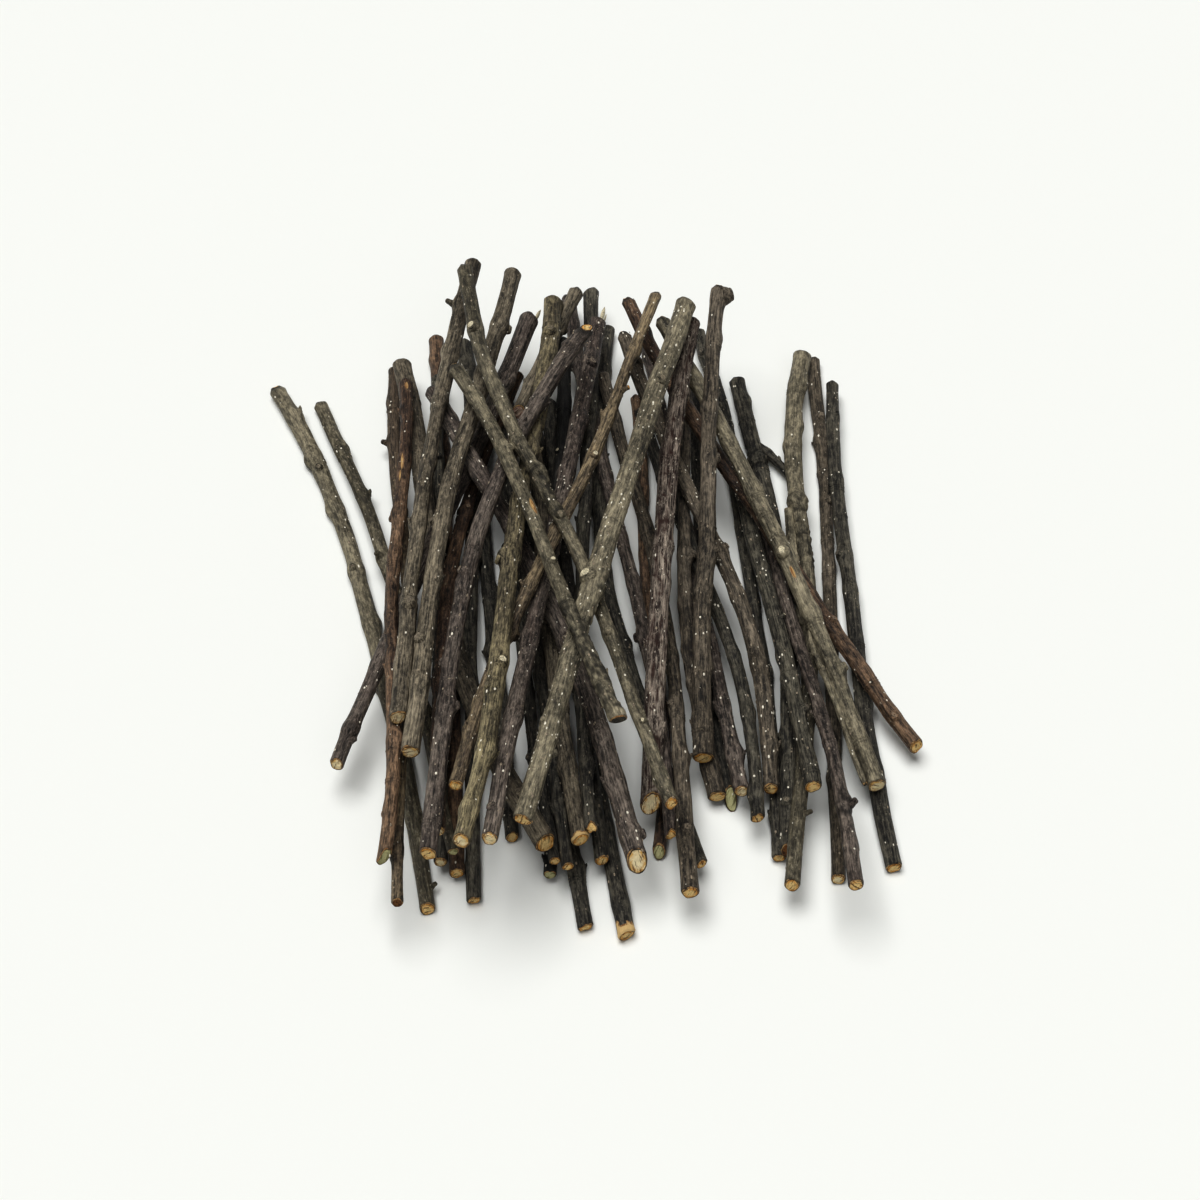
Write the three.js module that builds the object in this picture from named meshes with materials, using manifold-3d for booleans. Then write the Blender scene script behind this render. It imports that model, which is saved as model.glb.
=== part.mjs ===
// A loose bundle of cut twigs lying on a flat surface. Millimetres, +Z up.
// The twigs run roughly along Y. They are laid one after another, from the bottom of the pile to the top,
// and each one settles on the twigs that already lie there.
import * as THREE from "three";
import { mergeVertices } from "three/addons/utils/BufferGeometryUtils.js";
import Module from "manifold-3d";

const CLEARANCE = 0.3; // air left between two twigs that rest on each other
const SIDES = 8; // faces around a twig
const TWIG_STEPS = 9; // lengths that a whole twig is built from
const BRANCH_STEPS = 3; // lengths that a side branch is built from
const SAMPLES = 120; // places along a twig where it is tested for what lies under it

// Bark colours, by the word for them in each twig's name.
const BARK = {
  black: { color: 0x1d1b1a, roughness: 0.85 },
  dark: { color: 0x35302b, roughness: 0.8 },
  brown: { color: 0x51443a, roughness: 0.75 },
  red: { color: 0x50342a, roughness: 0.65 },
  purple: { color: 0x4a3a3c, roughness: 0.65 },
  grey: { color: 0x5c5349, roughness: 0.8 },
  olive: { color: 0x5b5847, roughness: 0.75 },
  khaki: { color: 0x665e48, roughness: 0.75 },
  tan: { color: 0x6b5440, roughness: 0.7 },
  scaly: { color: 0x625350, roughness: 0.9 },
};

// One row for each twig, from the bottom of the pile to the top:
//   bark, far end [x, y], near end [x, y],
//   sideways bends [bow, sway, wave], thickness [far, near], side branch.
// A bow is one arc along the twig, a sway is an S, and a wave has three arcs.
const TWIGS = [
  ["dark", [-20.5, 80], [6.5, -90.5], [0, 0.5, 0], [4.2, 4.0]],
  ["dark", [-27.5, 84], [-3.5, -88], [0, 0.5, 0], [4.0, 3.6]],
  ["dark", [-14.5, 75], [0.5, -73], [-0.5, 0, 0], [3.9, 3.4]],
  ["black", [-10.5, 91], [-12, -75], [-0.5, 0.5, 0.5], [3.7, 3.0]],
  ["dark", [-28, 68], [-10.5, -73.5], [-1.5, 0.5, 0], [3.3, 3.0]],
  ["dark", [-26.5, 71], [-7.5, -76.5], [-0.5, -0.5, 0], [3.3, 3.0]],
  ["grey", [-19, 62], [-4.5, -71], [-1.5, 0.5, 0], [4.1, 4.2]],
  ["dark", [-39, 101.5], [-21, -64], [0, 0, 0], [4.3, 3.5]],
  ["dark", [-31.5, 84], [-29.5, -81], [-3, -0.5, 0], [3.9, 3.5]],
  ["red", [-47.5, 103], [-33.5, -74.5], [0.5, 0, 0], [4.1, 3.6]],
  ["dark", [-46, 83.5], [-37.5, -72.5], [0, 0, 0], [3.4, 3.4]],
  ["olive", [-92.5, 83.5], [-40, -83.5], [7, 1, 0.5], [4.5, 3.8]],
  ["olive", [-79.5, 77.5], [-34.5, -72.5], [5, 0.5, 0], [3.7, 2.8]],
  ["tan", [-59, 91], [-46, -89.5], [2.5, -0.5, -1], [3.7, 2.6]],
  ["grey", [-56, 86.5], [-12.5, -71.5], [-7.5, 2, 0], [5.2, 5.0]],
  ["red", [10, 80.5], [14, -69], [1.5, -1, 1], [3.1, 3.0]],
  ["dark", [26.5, 88], [32, -55.5], [-2.5, 1, 0], [3.7, 3.3]],
  ["dark", [2, 107], [24, -73.5], [-11, 0, 0.5], [4.0, 3.0]],
  ["purple", [-9.5, 116], [17, -67.5], [2, -1.5, 0], [3.8, 3.0]],
  ["brown", [61, 95], [56.5, -75.5], [1.5, 0.5, 0], [3.7, 3.2]],
  ["dark", [65.5, 82.5], [70, -72.5], [-3, 0, -0.5], [3.4, 3.9]],
  ["dark", [35.5, 63.5], [42.5, -69.5], [2, -0.5, 0], [3.3, 3.2]],
  ["dark", [39, 86.5], [44.5, -70], [6, 0, -0.5], [4.3, 4.0],
    { from: [44, 60], to: [52, 49.5], thick: [2.6, 2.2] }],
  ["olive", [58, 93.5], [44.5, -81], [1.5, -2.5, -1], [4.9, 3.7],
    { from: [52, 35], to: [51.5, 8], thick: [4.0, 3.4] }],
  ["purple", [39.5, 50.5], [58, -86.5], [2.5, -0.5, 0.5], [3.3, 3.4]],
  ["purple", [13, 105], [34, -55], [0, 0, 0], [3.5, 3.6]],
  ["dark", [11, 69], [37.5, -63], [4.5, -2, 0], [3.3, 3.2]],
  ["brown", [24, 84], [28.5, -54], [-4.5, 1, 0], [2.6, 4.2]],
  ["dark", [28, 105], [50.5, -57], [1.5, 0, 0.5], [3.7, 4.1]],
  ["brown", [6, 84], [41.5, -53.5], [6, -2.5, 0], [3.6, 4.0]],
  ["brown", [0.5, 85], [21, -84], [5, 0, -0.5], [3.4, 3.9]],
  ["dark", [-2.5, 115], [-2, -69.5], [-2, 1, 0], [4.2, 3.0]],
  ["red", [-22.5, 80.5], [-37.5, -72], [-8.5, -0.5, 0], [3.6, 3.2]],
  ["purple", [-19.5, 93], [-63.5, -49.5], [0, 0.5, 0], [5.0, 3.6]],
  ["purple", [-46, 64], [9, -80.5], [6, -0.5, 0], [4.2, 5.0]],
  ["red", [-54, 74.5], [-49, -81.5], [0, 0, 1], [3.6, 3.2]],
  ["grey", [-35.5, 106.5], [-48, -44], [-3, 0, 0], [4.2, 4.0]],
  ["red", [7, 96], [78, -41], [-2.5, -0.5, -0.5], [3.9, 3.8]],
  ["olive", [16.5, 84], [67, -53], [3.5, 0, 0], [3.9, 4.2],
    { from: [60, -39], to: [64, -52.5], thick: [2.0, 1.6] }],
  ["purple", [-0.5, 98.5], [-24.5, -82.5], [0, 0.5, 0], [4.7, 3.8]],
  ["tan", [15.5, 91], [-33.5, -64.5], [-0.5, 1.5, -0.5], [3.1, 3.3]],
  ["grey", [-6, 104], [-23, 63], [-0.5, 0, 0], [3.7, 3.6]],
  ["khaki", [-13, 99], [-30.5, -85.5], [1, -0.5, 1], [4.8, 4.1]],
  ["purple", [-2.5, 78], [-39, -80], [-11.5, -1, 0], [4.3, 4.0]],
  ["grey", [-24, 103.5], [-44.5, -54], [-4, 0.5, 0.5], [4.7, 4.1]],
  ["scaly", [24.5, 79.5], [12, -61], [-2.5, -0.5, 0], [4.8, 4.9]],
  ["brown", [32.5, 89.5], [25, -46.5], [-1.5, 0, -0.5], [3.8, 5.1]],
  ["olive", [-37, 94.5], [16.5, -70], [-1.5, -2.5, -1], [4.0, 3.2]],
  ["olive", [23.5, 81], [-17.5, -78], [-1, 0, 0], [5.3, 4.9]],
  ["olive", [-39.5, 65], [4.5, -57.5], [2, 1, 0], [3.5, 3.8]],
];

const wasm = await Module();
wasm.setup();

// The line down the middle of a twig, at a height that falls or rises evenly along it.
class TwigLine extends THREE.Curve {
  constructor(far, near, bends = [0, 0, 0]) {
    super();
    this.far = new THREE.Vector2(...far);
    this.near = new THREE.Vector2(...near);
    this.bends = bends;
    this.height = 0;
    this.rise = 0;
    const along = this.near.clone().sub(this.far);
    this.length = along.length();
    this.side = new THREE.Vector2(-along.y, along.x).normalize();
  }

  // The height over a place in plan, which is the same for a twig and the branch that grows from it.
  setSlope(origin, heading, height, rise) {
    Object.assign(this, { origin, heading, height, rise });
  }

  plan(t) {
    const [bow, sway, wave] = this.bends;
    const aside =
      bow * Math.sin(Math.PI * t) +
      sway * Math.sin(2 * Math.PI * t) +
      wave * Math.sin(3 * Math.PI * t);
    return this.far.clone().lerp(this.near, t).addScaledVector(this.side, aside);
  }

  getPoint(t, target = new THREE.Vector3()) {
    const place = this.plan(t);
    const distance = place.clone().sub(this.origin).dot(this.heading);
    return target.set(place.x, place.y, this.height + this.rise * distance);
  }
}

// Places along a line where it is tested, each with the twig's radius there.
function samplesOf(line, thick) {
  return Array.from({ length: SAMPLES + 1 }, (_, i) => {
    const t = i / SAMPLES;
    return { place: line.plan(t), radius: THREE.MathUtils.lerp(thick[0], thick[1], t) / 2 };
  });
}

// How high the middle of a twig must be at one sample to clear the surface and all that lies there.
function clearHeight(sample, lying) {
  let height = sample.radius;
  for (const other of lying) {
    const reach = sample.radius + other.radius + CLEARANCE;
    const dx = sample.place.x - other.place.x;
    const dy = sample.place.y - other.place.y;
    const gapSquared = reach * reach - dx * dx - dy * dy;
    if (gapSquared > 0) height = Math.max(height, other.height + Math.sqrt(gapSquared));
  }
  return height;
}

// The straight line that rests on the points [distance, height] on both sides of the balance point.
function restingLine(points, balance) {
  const sorted = [...points].sort((a, b) => a[0] - b[0]);
  const hull = [];
  for (const point of sorted) {
    while (hull.length > 1 && !turnsDown(hull.at(-2), hull.at(-1), point)) hull.pop();
    hull.push(point);
  }
  const right = hull.findIndex((point) => point[0] >= balance);
  const [from, to] = [hull[right - 1], hull[right]];
  const rise = (to[1] - from[1]) / (to[0] - from[0]);
  return { rise, height: from[1] - rise * from[0] };
}

function turnsDown(a, b, c) {
  return (b[1] - a[1]) * (c[0] - a[0]) > (c[1] - a[1]) * (b[0] - a[0]);
}

// A round tapered bar along a line, closed at both ends.
function barAlong(line, thick, steps, extra = 0) {
  const bar = new THREE.CylinderGeometry(
    thick[0] / 2 + extra, thick[1] / 2 + extra, 1, SIDES, steps);
  const up = new THREE.Vector3(0, 0, 1);
  const position = bar.getAttribute("position");
  for (let i = 0; i < position.count; i += 1) {
    const t = 0.5 - position.getY(i);
    const along = line.getTangent(t);
    const side = new THREE.Vector3().crossVectors(along, up).normalize();
    const down = new THREE.Vector3().crossVectors(along, side);
    const point = line.getPoint(t);
    point.addScaledVector(side, position.getX(i));
    point.addScaledVector(down, position.getZ(i));
    position.setXYZ(i, point.x, point.y, point.z);
  }
  bar.deleteAttribute("normal");
  bar.deleteAttribute("uv");
  return mergeVertices(bar);
}

function solidOf(geometry) {
  return new wasm.Manifold(
    new wasm.Mesh({
      numProp: 3,
      vertProperties: geometry.getAttribute("position").array,
      triVerts: new Uint32Array(geometry.index.array),
    }),
  );
}

function geometryOf(solid) {
  const mesh = solid.getMesh();
  const geometry = new THREE.BufferGeometry();
  geometry.setAttribute("position", new THREE.BufferAttribute(mesh.vertProperties, 3));
  geometry.setIndex(new THREE.BufferAttribute(mesh.triVerts, 1));
  return geometry;
}

// A branch grows out of its stem, so its bar is cut off where the stem's bark is.
function branchBar(branchLine, branch, stemLine, stemThick) {
  const bar = solidOf(barAlong(branchLine, branch.thick, BRANCH_STEPS));
  const stem = solidOf(barAlong(stemLine, stemThick, TWIG_STEPS, CLEARANCE));
  return geometryOf(bar.subtract(stem));
}

function twigMesh(name, geometry, bark) {
  const flat = geometry.toNonIndexed();
  flat.computeVertexNormals();
  const mesh = new THREE.Mesh(flat, new THREE.MeshStandardMaterial({ ...BARK[bark], metalness: 0 }));
  mesh.name = name;
  return mesh;
}

const pile = new THREE.Group();
const lying = [];

TWIGS.forEach(([bark, far, near, bends, thick, branch], index) => {
  const line = new TwigLine(far, near, bends);
  const parts = [{ line, thick }];
  if (branch) parts.push({ line: new TwigLine(branch.from, branch.to), thick: branch.thick });

  const samples = parts.flatMap((part) => samplesOf(part.line, part.thick));
  const heading = line.near.clone().sub(line.far).normalize();
  const distanceOf = (place) => place.clone().sub(line.far).dot(heading);
  const points = samples.map((one) => [distanceOf(one.place), clearHeight(one, lying)]);
  const { rise, height } = restingLine(points, line.length / 2);

  for (const part of parts) part.line.setSlope(line.far, heading, height, rise);
  for (const one of samples) {
    lying.push({ ...one, height: height + rise * distanceOf(one.place) });
  }

  const name = `twig_${String(index + 1).padStart(2, "0")}_${bark}`;
  pile.add(twigMesh(name, barAlong(line, thick, TWIG_STEPS), bark));
  if (branch) {
    const bar = branchBar(parts[1].line, branch, line, thick);
    pile.add(twigMesh(`${name}_branch`, bar, bark));
  }
});

// The origin is on the surface, under the middle of the pile.
const box = new THREE.Box3().setFromObject(pile);
const middle = box.getCenter(new THREE.Vector3());
pile.position.set(-middle.x, -middle.y, -box.min.z);

export default pile;
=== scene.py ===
"""A loose bundle of cut twigs on a pale surface.

Each twig gets a skin of bark that follows its CAD bar, with buds, scars, rings, spurs and cut ends.
Lengths in this file are millimetres until a mesh or a light is made, and then metres.
"""

import math

import bpy
import numpy as np
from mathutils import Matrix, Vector


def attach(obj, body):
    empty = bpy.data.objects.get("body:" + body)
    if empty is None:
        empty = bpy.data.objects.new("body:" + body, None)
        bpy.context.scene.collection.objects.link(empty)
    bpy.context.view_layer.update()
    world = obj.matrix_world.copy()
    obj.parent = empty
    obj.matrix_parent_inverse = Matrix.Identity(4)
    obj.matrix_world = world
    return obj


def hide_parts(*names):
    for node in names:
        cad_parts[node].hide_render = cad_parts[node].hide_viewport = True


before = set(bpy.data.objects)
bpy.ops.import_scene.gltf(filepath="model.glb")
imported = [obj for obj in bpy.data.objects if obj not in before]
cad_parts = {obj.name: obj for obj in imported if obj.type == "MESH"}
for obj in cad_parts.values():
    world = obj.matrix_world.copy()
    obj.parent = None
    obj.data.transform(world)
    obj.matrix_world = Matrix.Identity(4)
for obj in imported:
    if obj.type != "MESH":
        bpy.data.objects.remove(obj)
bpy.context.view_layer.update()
MM = 0.001

# ---------------------------------------------------------------- what each twig looks like
#
# tone: how far the bark's colour is from its kind's first colour to its second, at the far and near end
# dots: pale lenticels for each 10 mm;  ridges: height of the lengthwise ridges
# far, near: how each end is cut: (lean of the cut in degrees, where the longest side is, wood)
# marks: what grows or was cut off, with its place along (0 far, 1 near) and around (0 top, 90 right):
#   ("ring", along, ridges)              bands where a year's growth ended
#   ("node", along, around, height)      swelling, stronger on one side
#   ("bud", along, around, length)       bud that lies along the bark
#   ("scar", along, around, width, look) round scar of a lost side shoot
#   ("stub", along, around, width, length, look)  short cut side shoot
#   ("bare", along, around, length, width)        place where the bark came off
#   ("wrinkles", along, length, height)  stretch of cross wrinkles
LOOKS = {
    "twig_49_olive": dict(
        tone=(0.5, 0.7), dots=16, ridges=0.04, far=(12, 180, "cream"), near=(8, 0, "ochre"),
        marks=[
            ("ring", 0.477, 1), ("scar", 0.585, -38, 2.7, "cream"), ("node", 0.60, 60, 0.5),
            ("wrinkles", 0.62, 14, 0.16), ("stub", 0.885, 92, 1.4, 1.0, "bark"),
            ("scar", 0.19, 25, 1.9, "pale"),
            ("node", 0.57, -78, 0.5), ("bud", 0.37, -60, 1.2),
        ],
    ),
    "twig_48_olive": dict(
        tone=(0.2, 0.4), dots=5, ridges=0.05, far=(10, 180, "cream"), near=(25, 200, "ochre"),
        marks=[
            ("scar", 0.137, -25, 2.0, "cream"), ("node", 0.137, -30, 0.5), ("node", 0.43, 20, 0.9),
            ("wrinkles", 0.46, 16, 0.22), ("ring", 0.42, 2), ("scar", 0.513, -5, 1.5, "pale"),
            ("ring", 0.50, 2),
            ("bud", 0.57, 25, 1.4), ("stub", 0.65, 70, 1.4, 1.0, "cream"), ("node", 0.65, 60, 0.4),
            ("scar", 0.87, 5, 1.0, "cream"), ("bud", 0.86, 40, 1.3), ("ring", 0.66, 2),
        ],
    ),
    "twig_50_olive": dict(
        tone=(0.3, 0.5), dots=4, ridges=0.06, far=(45, 180, "ochre"), near=(20, 20, "bark"),
        marks=[
            ("scar", 0.287, 60, 1.2, "cream"), ("bare", 0.46, 25, 7, 1.3), ("scar", 0.607, 10, 1.4, "cream"),
            ("node", 0.28, 60, 0.35), ("bud", 0.30, 20, 1.5), ("node", 0.72, -20, 0.45), ("ring", 0.72, 3),
            ("wrinkles", 0.745, 9, 0.25), ("ring", 0.77, 2), ("wrinkles", 0.88, 24, 0.14),
            ("node", 0.98, 80, 0.3),
        ],
    ),
    "twig_37_grey": dict(
        tone=(0.2, 0.75), dots=3, ridges=0.07, far=(15, 180, "cream"), near=(25, 220, "cream"),
        marks=[
            ("stub", 0.113, -80, 1.6, 2.0, "bark"), ("node", 0.113, -75, 0.5), ("ring", 0.77, 1),
            ("scar", 0.783, 5, 2.1, "eye"), ("node", 0.783, 5, 0.35),
        ],
    ),
    "twig_45_grey": dict(
        tone=(0.4, 0.7), dots=3, ridges=0.06, far=(10, 180, "cream"), near=(12, 180, "cream"),
        marks=[("scar", 0.80, -30, 1.8, "eye"), ("node", 0.80, -40, 0.3), ("bud", 0.35, 80, 1.6)],
    ),
    "twig_36_red": dict(
        tone=(0.2, 0.9), dots=2, ridges=0.07, far=(12, 180, "cream"), near=(50, 250, "green"),
        marks=[
            ("bare", 0.025, 8, 3.5, 1.2), ("bare", 0.21, -12, 6, 0.9), ("bare", 0.24, -25, 4, 0.6),
            ("node", 0.2, 40, 0.3),
            ("bud", 0.537, 5, 1.3), ("node", 0.537, 5, 0.25), ("ring", 0.857, 2),
        ],
    ),
    "twig_43_khaki": dict(
        tone=(0.2, 0.8), dots=3, ridges=0.09, far=(12, 180, "ochre"), near=(15, 190, "cream"),
        marks=[
            ("scar", 0.09, -5, 2.2, "eye"), ("ring", 0.07, 1), ("node", 0.09, 0, 0.25),
            ("bud", 0.333, 85, 1.8), ("node", 0.333, 85, 0.4),
            ("scar", 0.547, -75, 1.6, "pale"), ("node", 0.54, -75, 1.1),
            ("scar", 0.727, 25, 1.9, "cream"), ("node", 0.72, 25, 0.3),
        ],
    ),
    "twig_44_purple": dict(
        tone=(0.4, 0.6), dots=5, ridges=0.06, far=(58, 180, "ochre"), near=(15, 180, "ochre"),
        marks=[
            ("node", 0.76, 85, 0.8), ("scar", 0.76, 80, 1.3, "pale"), ("ring", 0.49, 2),
            ("node", 0.55, -30, 0.4),
            ("scar", 0.53, -50, 1.4, "pale"), ("ring", 0.57, 1), ("bud", 0.24, 10, 1.4),
            ("node", 0.26, 0, 0.25),
        ],
    ),
    "twig_40_purple": dict(
        tone=(0.2, 0.6), dots=8, ridges=0.03, far=(15, 180, "cream"), near=(15, 180, "cream"),
        marks=[
            ("splinter", 0, 40, 4.0, 1.4), ("splinter", 0, 80, 2.6, 1.0),
            ("ring", 0.035, 3), ("scar", 0.117, 20, 2.0, "pale"), ("node", 0.1, 0, 0.35),
            ("scar", 0.953, -35, 1.4, "pale"), ("node", 0.5, 60, 0.3), ("bud", 0.61, -60, 1.6),
        ],
    ),
    "twig_41_tan": dict(
        tone=(0.8, 0.3), dots=3, ridges=0.05, far=(20, 180, "cream"), near=(15, 180, "ochre"),
        marks=[
            ("scar", 0.373, 20, 1.4, "cream"), ("node", 0.373, 20, 0.3),
            ("stub", 0.227, 60, 1.3, 1.6, "ochre"),
            ("stub", 0.643, -60, 1.0, 1.0, "cream"), ("node", 0.64, -20, 0.3),
            ("bud", 0.907, -35, 1.4), ("node", 0.907, -35, 0.5),
        ],
    ),
    "twig_42_grey": dict(
        tone=(0.6, 0.4), dots=2, ridges=0.04, far=(10, 180, "cream"), near=(35, 200, "pale"), marks=[],
    ),
    "twig_46_scaly": dict(
        tone=(0.3, 0.6), dots=4, ridges=0.07, far=(10, 180, "cream"), near=(40, 200, "cream"),
        marks=[("ring", 0.50, 2), ("node", 0.50, 45, 0.3), ("bud", 0.44, 50, 1.4)],
    ),
    "twig_47_brown": dict(
        tone=(0.9, 0.4), dots=3, ridges=0.05, far=(15, 180, "ochre"), near=(10, 180, "ochre"),
        marks=[
            ("stub", 0.022, 85, 3.2, 1.5, "bark"), ("node", 0.03, 80, 0.7), ("node", 0.60, 70, 0.5),
            ("scar", 0.59, 60, 1.3, "pale"),
        ],
    ),
    "twig_28_brown": dict(
        tone=(0.6, 0.5), dots=2, ridges=0.08, far=(15, 180, "cream"), near=(10, 180, "ochre"),
        marks=[
            ("node", 0.5, 60, 0.9), ("scar", 0.5, 65, 1.3, "pale"), ("node", 0.707, 0, 0.5),
            ("wrinkles", 0.72, 8, 0.15),
        ],
    ),
    "twig_39_olive": dict(
        tone=(0.4, 0.9), dots=2, ridges=0.10, far=(20, 180, "cream"), near=(15, 180, "cream"),
        marks=[
            ("ring", 0.463, 2), ("ring", 0.51, 2), ("scar", 0.545, -25, 2.1, "cream"),
            ("node", 0.545, -15, 0.5),
            ("bare", 0.59, -20, 5, 0.8), ("node", 0.783, 70, 0.7), ("scar", 0.78, 65, 1.3, "pale"),
        ],
    ),
    "twig_38_red": dict(
        tone=(0.1, 0.7), dots=4, ridges=0.05, far=(30, 180, "ochre"), near=(20, 180, "ochre"),
        marks=[("scar", 0.937, -15, 1.5, "pale"), ("node", 0.93, -15, 0.3), ("bud", 0.33, 40, 1.5)],
    ),
    "twig_29_dark": dict(
        tone=(0.5, 0.9), dots=7, ridges=0.06, far=(20, 180, "cream"), near=(8, 180, "ochre"),
        marks=[
            ("bud", 0.207, -15, 1.5), ("ring", 0.25, 2), ("ring", 0.503, 1), ("scar", 0.07, -25, 1.5, "eye"),
            ("node", 0.07, -25, 0.4), ("stub", 0.68, 50, 1.0, 0.8, "cream"), ("node", 0.80, -60, 0.6),
        ],
    ),
    "twig_30_brown": dict(
        tone=(0.3, 0.6), dots=9, ridges=0.06, far=(25, 180, "cream"), near=(15, 180, "ochre"),
        marks=[
            ("node", 0.523, 30, 0.7), ("scar", 0.52, 50, 1.2, "pale"), ("bud", 0.75, -30, 1.5),
            ("node", 0.76, -30, 0.3),
        ],
    ),
    "twig_24_olive": dict(
        tone=(0.7, 0.1), dots=3, ridges=0.05, far=(15, 180, "ochre"), near=(20, 180, "ochre"),
        marks=[
            ("ring", 0.323, 3), ("node", 0.33, 0, 1.0), ("wrinkles", 0.39, 18, 0.22), ("ring", 0.453, 2),
            ("ring", 0.633, 2), ("stub", 0.883, 80, 1.1, 1.6, "bark"), ("node", 0.17, 80, 0.4),
            ("ring", 0.42, 2),
            ("node", 0.633, -20, 0.3),
        ],
    ),
    "twig_23_dark": dict(
        tone=(0.6, 0.5), dots=4, ridges=0.05, far=(10, 180, "bark"), near=(25, 180, "brown"),
        marks=[
            ("ring", 0.11, 1), ("node", 0.207, -5, 0.9), ("ring", 0.185, 2), ("ring", 0.215, 3),
            ("ring", 0.235, 2),
            ("wrinkles", 0.20, 9, 0.25), ("ring", 0.487, 2), ("scar", 0.913, -10, 1.5, "pale"),
            ("node", 0.06, 80, 0.4),
        ],
    ),
    "twig_20_brown": dict(
        tone=(0.3, 0.2), dots=3, ridges=0.05, far=(15, 180, "cream"), near=(15, 180, "cream"),
        marks=[
            ("scar", 0.14, 15, 1.4, "pale"), ("ring", 0.26, 2), ("ring", 0.397, 2),
            ("node", 0.26, 60, 0.4),
        ],
    ),
    "twig_21_dark": dict(
        tone=(0.3, 0.6), dots=3, ridges=0.05, far=(15, 180, "cream"), near=(10, 180, "ochre"),
        marks=[
            ("ring", 0.317, 1), ("node", 0.473, 5, 0.4), ("bud", 0.47, 5, 1.5), ("ring", 0.587, 2),
            ("node", 0.7, 80, 0.5), ("bud", 0.91, 20, 1.4),
        ],
    ),
    "twig_25_purple": dict(
        tone=(0.2, 0.6), dots=2, ridges=0.05, far=(15, 180, "cream"), near=(15, 180, "ochre"),
        marks=[
            ("stub", 0.837, 60, 1.6, 1.6, "bark"), ("node", 0.83, 60, 0.6),
            ("wrinkles", 0.84, 5, 0.15), ("ring", 0.7, 2),
        ],
    ),
    "twig_12_olive": dict(
        tone=(0.6, -0.2), dots=2, ridges=0.05, far=(35, 180, "ochre"), near=(20, 180, "ochre"),
        marks=[
            ("bud", 0.077, 60, 1.8), ("node", 0.08, 60, 0.5), ("node", 0.175, -70, 0.8),
            ("scar", 0.205, -10, 1.5, "pale"),
            ("node", 0.21, -10, 0.3), ("stub", 0.965, 70, 1.0, 1.4, "bark"), ("ring", 0.19, 2),
        ],
    ),
    "twig_13_olive": dict(
        tone=(0.3, 0.1), dots=2, ridges=0.04, far=(15, 180, "cream"), near=(15, 180, "green"),
        marks=[
            ("bud", 0.253, 80, 2.0), ("node", 0.25, 80, 0.4), ("stub", 0.40, -30, 1.5, 1.4, "bark"),
            ("node", 0.4, -30, 0.5),
        ],
    ),
    "twig_14_tan": dict(
        tone=(-0.4, 0.8), dots=2, ridges=0.04, far=(15, 180, "cream"), near=(15, 180, "brown"),
        marks=[
            ("stub", 0.17, -85, 1.2, 1.4, "bark"), ("node", 0.17, -70, 0.4), ("node", 0.62, 40, 0.3),
            ("bud", 0.81, 10, 1.2),
        ],
    ),
    "twig_01_dark": dict(peel=2.6),
    "twig_07_grey": dict(peel=1.3),
    "twig_32_dark": dict(jag=0.9, far=(25, 90, "bark")),
    "twig_19_purple": dict(jag=0.8, far=(20, 270, "bark")),
    "twig_15_grey": dict(
        tone=(0.2, 0.2), dots=2, ridges=0.06, far=(10, 180, "cream"), near=(15, 180, "ochre"),
        marks=[("node", 0.673, -35, 0.6), ("bud", 0.66, -35, 1.6)],
    ),
    "twig_34_purple": dict(
        tone=(0.5, 0.4), dots=4, ridges=0.05, far=(10, 0, "bark"), near=(15, 180, "cream"), jag=0.5,
        marks=[
            ("splinter", 0, 70, 3.0, 1.6), ("node", 0.93, 15, 0.8),
            ("stub", 0.95, 60, 1.3, 1.2, "bark"), ("node", 0.4, 60, 0.4), ("bud", 0.4, 50, 1.4),
        ],
    ),
    "twig_35_purple": dict(
        tone=(0.3, 0.6), dots=8, ridges=0.05, far=(15, 180, "cream"), near=(40, 190, "cream"),
        marks=[("node", 0.773, -15, 0.4), ("bud", 0.76, -15, 1.5), ("node", 0.5, 40, 0.3)],
    ),
    "twig_31_brown": dict(
        tone=(0.3, 0.5), dots=3, ridges=0.06, far=(15, 180, "cream"), near=(15, 180, "ochre"),
        marks=[("scar", 0.903, 10, 1.5, "pale"), ("node", 0.9, 10, 0.25)],
    ),
    "twig_33_red": dict(
        tone=(0.1, 0.2), dots=3, ridges=0.04, far=(15, 180, "cream"), near=(15, 180, "cream"),
        marks=[
            ("node", 0.357, 15, 0.6), ("scar", 0.35, 20, 1.2, "pale"), ("wrinkles", 0.36, 6, 0.15),
            ("bud", 0.2, -30, 1.5),
        ],
    ),
    "twig_04_black": dict(
        tone=(0.2, 0.4), dots=1, ridges=0.04, far=(20, 180, "cream"), near=(15, 180, "green"),
        marks=[("scar", 0.247, -35, 1.1, "cream"), ("bud", 0.975, -80, 1.8), ("node", 0.5, 60, 0.5)],
    ),
    "twig_11_dark": dict(
        tone=(0.5, 0.3), dots=1, ridges=0.04, far=(15, 180, "cream"), near=(15, 180, "cream"),
        marks=[("bud", 0.02, -15, 1.6), ("bud", 0.65, -10, 1.6), ("node", 0.65, -10, 0.4)],
    ),
    "twig_10_red": dict(
        tone=(0.3, 0.2), dots=1, ridges=0.04, far=(15, 180, "cream"), near=(10, 180, "ochre"), marks=[],
    ),
    "twig_17_dark": dict(
        tone=(0.3, 0.3), dots=1, ridges=0.04, far=(15, 180, "cream"), near=(62, 180, "green"), marks=[],
    ),
    "twig_16_red": dict(
        tone=(0.9, 0.4), dots=1, ridges=0.04, far=(15, 180, "cream"), near=(45, 170, "green"), marks=[],
    ),
    "twig_26_purple": dict(
        tone=(0.4, 0.5), dots=3, ridges=0.05, far=(20, 180, "cream"), near=(15, 180, "cream"),
        marks=[("bud", 0.62, 10, 1.4)],
    ),
}
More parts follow.
